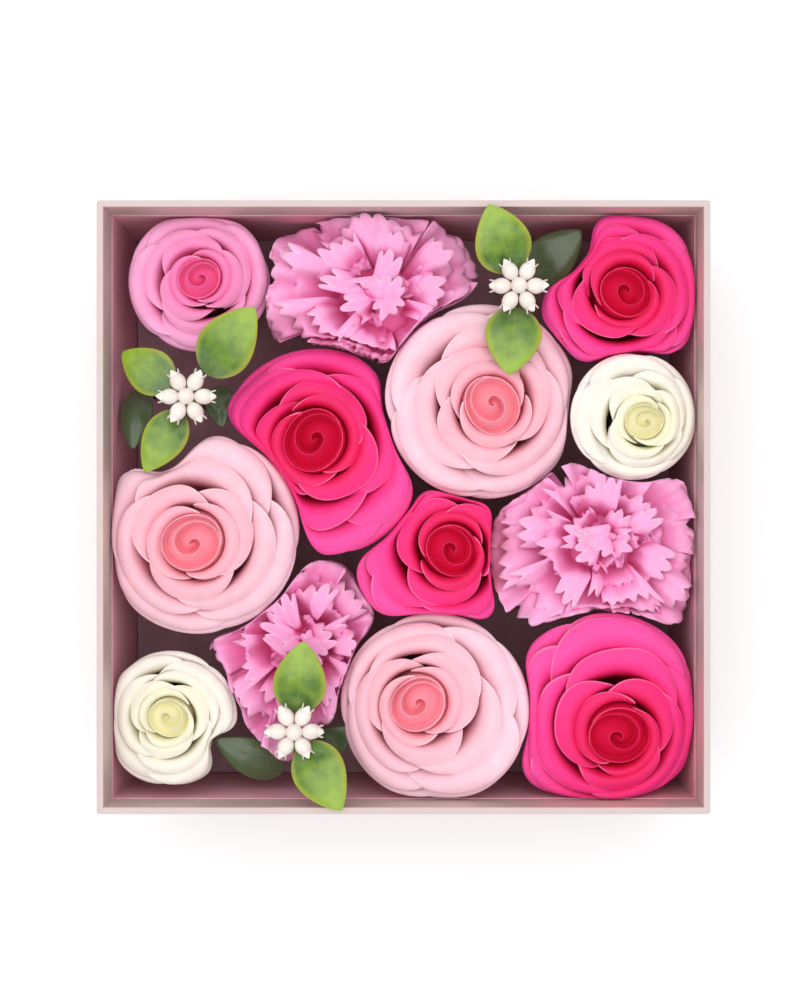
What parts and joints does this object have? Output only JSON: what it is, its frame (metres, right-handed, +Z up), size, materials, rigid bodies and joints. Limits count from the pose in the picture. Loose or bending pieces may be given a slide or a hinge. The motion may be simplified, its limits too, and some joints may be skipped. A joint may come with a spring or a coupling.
{
  "type": "flower box",
  "caption": "Square open gift box of soap flowers: roses, carnations and leafy berry sprigs on pegs in a foam pad.",
  "frame": {"origin": "centre of the box's underside", "axes": "+Z up out of the open top, +X to the right and +Y to the back when seen from above"},
  "size_m": [0.18, 0.18, 0.0735],
  "materials": {
    "base_paper": "matt uncoated paper under the base",
    "wrap_paper": "pearl ivory coated paper with a faint fibre",
    "lining_paper": "matt off-white paper",
    "kraft_tape": "matt kraft paper tape",
    "greyboard": "raw greyboard",
    "foam": "matt closed-cell foam",
    "green_calyx": "satin moulded plastic",
    "green_stem": "satin plastic-covered wire",
    "dark_leaf": "glossy moulded leaf",
    "lime_leaf": "glossy moulded leaf with a dusty bloom",
    "white_berry": "satin moulded plastic",
    "magenta_soap": "matt waxy pressed soap petals",
    "blush_soap": "matt waxy pressed soap petals",
    "pink_soap": "matt waxy pressed soap petals",
    "white_soap": "matt waxy pressed soap petals",
    "carnation_soap": "matt waxy pressed soap petals"
  },
  "bodies": {
    "box": {"base_sheet": "base_paper", "outer_wrap": "wrap_paper", "base_board": "greyboard", "wall_board_front": "greyboard", "wall_board_back": "greyboard", "wall_board_left": "greyboard", "wall_board_right": "greyboard", "corner_tapes": "kraft_tape", "lining": "lining_paper", "foam_pad": "foam", "loose_leaves": "dark_leaf"},
    "pink_rose_back_left": {"pink_rose_back_left_calyx": "green_calyx", "pink_rose_back_left_bud": "pink_soap", "pink_rose_back_left_petals": "pink_soap"},
    "carnation_back": {"carnation_back_calyx": "green_calyx", "carnation_back_tuft": "carnation_soap", "carnation_back_petals": "carnation_soap"},
    "magenta_rose_back_right": {"magenta_rose_back_right_calyx": "green_calyx", "magenta_rose_back_right_bud": "magenta_soap", "magenta_rose_back_right_petals": "magenta_soap"},
    "blush_rose_upper": {"blush_rose_upper_calyx": "green_calyx", "blush_rose_upper_bud": "blush_soap", "blush_rose_upper_petals": "blush_soap"},
    "white_rose_right": {"white_rose_right_calyx": "green_calyx", "white_rose_right_bud": "white_soap", "white_rose_right_petals": "white_soap"},
    "magenta_rose_left": {"magenta_rose_left_calyx": "green_calyx", "magenta_rose_left_bud": "magenta_soap", "magenta_rose_left_petals": "magenta_soap"},
    "magenta_rose_centre": {"magenta_rose_centre_calyx": "green_calyx", "magenta_rose_centre_bud": "magenta_soap", "magenta_rose_centre_petals": "magenta_soap"},
    "carnation_right": {"carnation_right_calyx": "green_calyx", "carnation_right_tuft": "carnation_soap", "carnation_right_petals": "carnation_soap"},
    "blush_rose_left": {"blush_rose_left_calyx": "green_calyx", "blush_rose_left_bud": "blush_soap", "blush_rose_left_petals": "blush_soap"},
    "carnation_front_left": {"carnation_front_left_calyx": "green_calyx", "carnation_front_left_tuft": "carnation_soap", "carnation_front_left_petals": "carnation_soap"},
    "white_rose_front_left": {"white_rose_front_left_calyx": "green_calyx", "white_rose_front_left_bud": "white_soap", "white_rose_front_left_petals": "white_soap"},
    "blush_rose_front": {"blush_rose_front_calyx": "green_calyx", "blush_rose_front_bud": "blush_soap", "blush_rose_front_petals": "blush_soap"},
    "magenta_rose_front_right": {"magenta_rose_front_right_calyx": "green_calyx", "magenta_rose_front_right_bud": "magenta_soap", "magenta_rose_front_right_petals": "magenta_soap"},
    "sprig_left": {"sprig_left_stem": "green_stem", "sprig_left_leaves": "lime_leaf", "sprig_left_berries": "white_berry"},
    "sprig_back": {"sprig_back_stem": "green_stem", "sprig_back_leaves": "lime_leaf", "sprig_back_berries": "white_berry"},
    "sprig_front": {"sprig_front_stem": "green_stem", "sprig_front_leaves": "lime_leaf", "sprig_front_berries": "white_berry"}
  },
  "joints": [
    {"name": "pink_rose_back_left_lift", "type": "slide", "parent": "box", "child": "pink_rose_back_left", "axis": [0, 0, 1], "range_m": [0, 0.07]},
    {"name": "carnation_back_lift", "type": "slide", "parent": "box", "child": "carnation_back", "axis": [0, 0, 1], "range_m": [0, 0.07]},
    {"name": "magenta_rose_back_right_lift", "type": "slide", "parent": "box", "child": "magenta_rose_back_right", "axis": [0, 0, 1], "range_m": [0, 0.07]},
    {"name": "blush_rose_upper_lift", "type": "slide", "parent": "box", "child": "blush_rose_upper", "axis": [0, 0, 1], "range_m": [0, 0.07]},
    {"name": "white_rose_right_lift", "type": "slide", "parent": "box", "child": "white_rose_right", "axis": [0, 0, 1], "range_m": [0, 0.07]},
    {"name": "magenta_rose_left_lift", "type": "slide", "parent": "box", "child": "magenta_rose_left", "axis": [0, 0, 1], "range_m": [0, 0.07]},
    {"name": "magenta_rose_centre_lift", "type": "slide", "parent": "box", "child": "magenta_rose_centre", "axis": [0, 0, 1], "range_m": [0, 0.07]},
    {"name": "carnation_right_lift", "type": "slide", "parent": "box", "child": "carnation_right", "axis": [0, 0, 1], "range_m": [0, 0.07]},
    {"name": "blush_rose_left_lift", "type": "slide", "parent": "box", "child": "blush_rose_left", "axis": [0, 0, 1], "range_m": [0, 0.07]},
    {"name": "carnation_front_left_lift", "type": "slide", "parent": "box", "child": "carnation_front_left", "axis": [0, 0, 1], "range_m": [0, 0.07]},
    {"name": "white_rose_front_left_lift", "type": "slide", "parent": "box", "child": "white_rose_front_left", "axis": [0, 0, 1], "range_m": [0, 0.07]},
    {"name": "blush_rose_front_lift", "type": "slide", "parent": "box", "child": "blush_rose_front", "axis": [0, 0, 1], "range_m": [0, 0.07]},
    {"name": "magenta_rose_front_right_lift", "type": "slide", "parent": "box", "child": "magenta_rose_front_right", "axis": [0, 0, 1], "range_m": [0, 0.07]},
    {"name": "sprig_left_lift", "type": "slide", "parent": "pink_rose_back_left", "child": "sprig_left", "axis": [0, 0, 1], "range_m": [0, 0.07]},
    {"name": "sprig_back_lift", "type": "slide", "parent": "blush_rose_upper", "child": "sprig_back", "axis": [0, 0, 1], "range_m": [0, 0.07]},
    {"name": "sprig_front_lift", "type": "slide", "parent": "carnation_front_left", "child": "sprig_front", "axis": [0, 0, 1], "range_m": [0, 0.07]}
  ]
}
